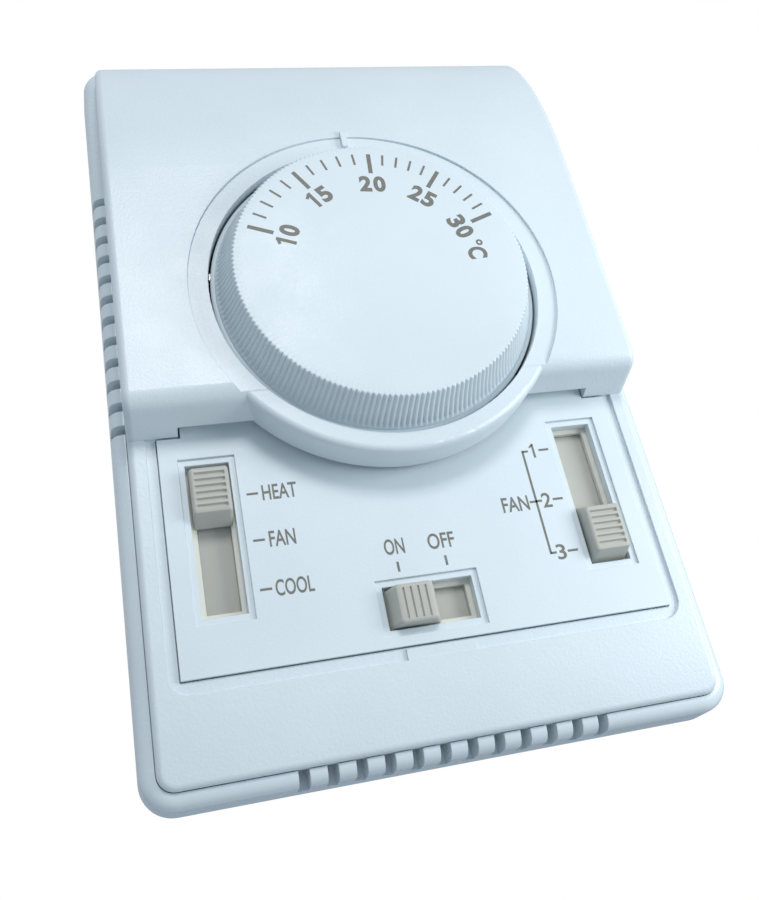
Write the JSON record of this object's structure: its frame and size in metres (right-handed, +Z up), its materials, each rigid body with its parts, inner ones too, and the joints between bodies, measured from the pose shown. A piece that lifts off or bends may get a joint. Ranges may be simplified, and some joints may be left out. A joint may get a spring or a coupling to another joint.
{
  "type": "wall thermostat",
  "caption": "Wall-mounted room thermostat: shallow vented tray, hooded front cover with a fluted temperature dial, and slide switches for mode, fan speed and power.",
  "frame": {"origin": "on the back face that lies on the wall, midway between the sides and 65 mm above the lower end", "axes": "+Z up the wall, +X to the right seen from the front, +Y into the wall, so the front faces -Y"},
  "size_m": [0.088, 0.0218, 0.1316],
  "materials": {
    "ivory_plastic": "cool white moulded ABS, fine satin grain with a glossy rim",
    "ivory_satin": "cool white satin insert with printed legends",
    "dial_ivory": "cool white fine-grained moulding with printed scale",
    "knob_beige": "warm grey-beige moulded finger pieces",
    "beige_plastic": "beige moulded guide",
    "screw_steel": "zinc plated",
    "zinc_steel": "zinc plated sheet",
    "spring_steel": "bright drawn",
    "capsule_steel": "thin bright stainless shells",
    "machined_brass": "turned brass",
    "clamp_brass": "pressed brass",
    "contact_brass": "phosphor bronze strip",
    "board_laminate": "brown paper laminate board",
    "terminal_grey": "grey moulded block",
    "switch_black": "black phenolic moulding",
    "switch_red": "red push button",
    "resistor_tan": "lacquered resistor body"
  },
  "bodies": {
    "housing": {"base_tray": "ivory_plastic", "front_cover": "ivory_plastic", "control_plate": "ivory_satin", "cover_screws": "screw_steel", "circuit_board": "board_laminate", "board_screws": "screw_steel", "terminal_block": "terminal_grey", "terminal_clamps": "clamp_brass", "terminal_screws": "screw_steel", "mode_switch_guide": "beige_plastic", "fan_switch_guide": "beige_plastic", "power_switch_guide": "beige_plastic", "mode_switch_contacts": "contact_brass", "fan_switch_contacts": "contact_brass", "power_switch_contacts": "contact_brass", "spindle_bush": "machined_brass", "mechanism_bridge": "zinc_steel", "bridge_screws": "screw_steel", "range_spring": "spring_steel", "sensing_capsule": "capsule_steel", "capsule_cup": "zinc_steel", "lever_bracket": "zinc_steel", "lever_pin": "spring_steel", "snap_switch_case": "switch_black", "snap_switch_lid": "switch_black", "snap_switch_terminals": "contact_brass", "anticipator": "resistor_tan", "range_stops": "spring_steel"},
    "dial": {"temperature_dial": "dial_ivory", "adjusting_spindle": "machined_brass", "spindle_clip": "spring_steel"},
    "mode_slide_body": {"mode_slider": "knob_beige", "mode_wiper": "contact_brass"},
    "fan_slide_body": {"fan_slider": "knob_beige", "fan_wiper": "contact_brass"},
    "power_slide_body": {"power_slider": "knob_beige", "power_wiper": "contact_brass"},
    "seat": {"spring_seat": "machined_brass"},
    "lever": {"sensing_lever": "zinc_steel", "calibration_screw": "machined_brass"},
    "capsule_boss": {"capsule_button": "machined_brass"},
    "switch_push": {"snap_switch_button": "switch_red"},
    "switch_blade": {"snap_blade": "contact_brass"}
  },
  "joints": [
    {"name": "dial_turn", "type": "hinge", "parent": "housing", "child": "dial", "pos_m": [0.0006, -0.015, 0.0085], "axis": [0, -1, 0], "range_deg": [-68, 67.3]},
    {"name": "mode_slide", "type": "slide", "parent": "housing", "child": "mode_slide_body", "axis": [0, 0, -1], "range_m": [0, 0.0135]},
    {"name": "fan_slide", "type": "slide", "parent": "housing", "child": "fan_slide_body", "axis": [0, 0, 1], "range_m": [0, 0.0135]},
    {"name": "power_slide", "type": "slide", "parent": "housing", "child": "power_slide_body", "axis": [1, 0, 0], "range_m": [0, 0.0054]},
    {"name": "seat_travel", "type": "slide", "parent": "housing", "child": "seat", "axis": [0, 1, 0], "range_m": [-0.0006, 0.0006], "deforming": ["range_spring"]},
    {"name": "lever_tilt", "type": "hinge", "parent": "housing", "child": "lever", "pos_m": [-0.024, -0.0095, 0.0085], "axis": [0, 0, -1], "range_deg": [0, 0.55], "stiffness_Nm_per_rad": 0.5},
    {"name": "capsule_push", "type": "slide", "parent": "housing", "child": "capsule_boss", "axis": [0, -1, 0], "range_m": [-0.00005, 0.0003]},
    {"name": "switch_button_travel", "type": "slide", "parent": "housing", "child": "switch_push", "axis": [0, -1, 0], "range_m": [-0.00005, 0.00045]},
    {"name": "switch_blade_tilt", "type": "hinge", "parent": "housing", "child": "switch_blade", "pos_m": [0.02, -0.0051, 0.0013], "axis": [1, 0, 0], "range_deg": [-0.1, 3]}
  ],
  "couplings": [
    {"joint": "seat_travel", "follows": "dial_turn", "m_per_rad": 0.0004775},
    {"joint": "capsule_push", "follows": "lever_tilt", "m_per_rad": 0.0246},
    {"joint": "switch_button_travel", "follows": "lever_tilt", "m_per_rad": 0.044},
    {"joint": "switch_blade_tilt", "follows": "lever_tilt", "ratio": 5}
  ]
}
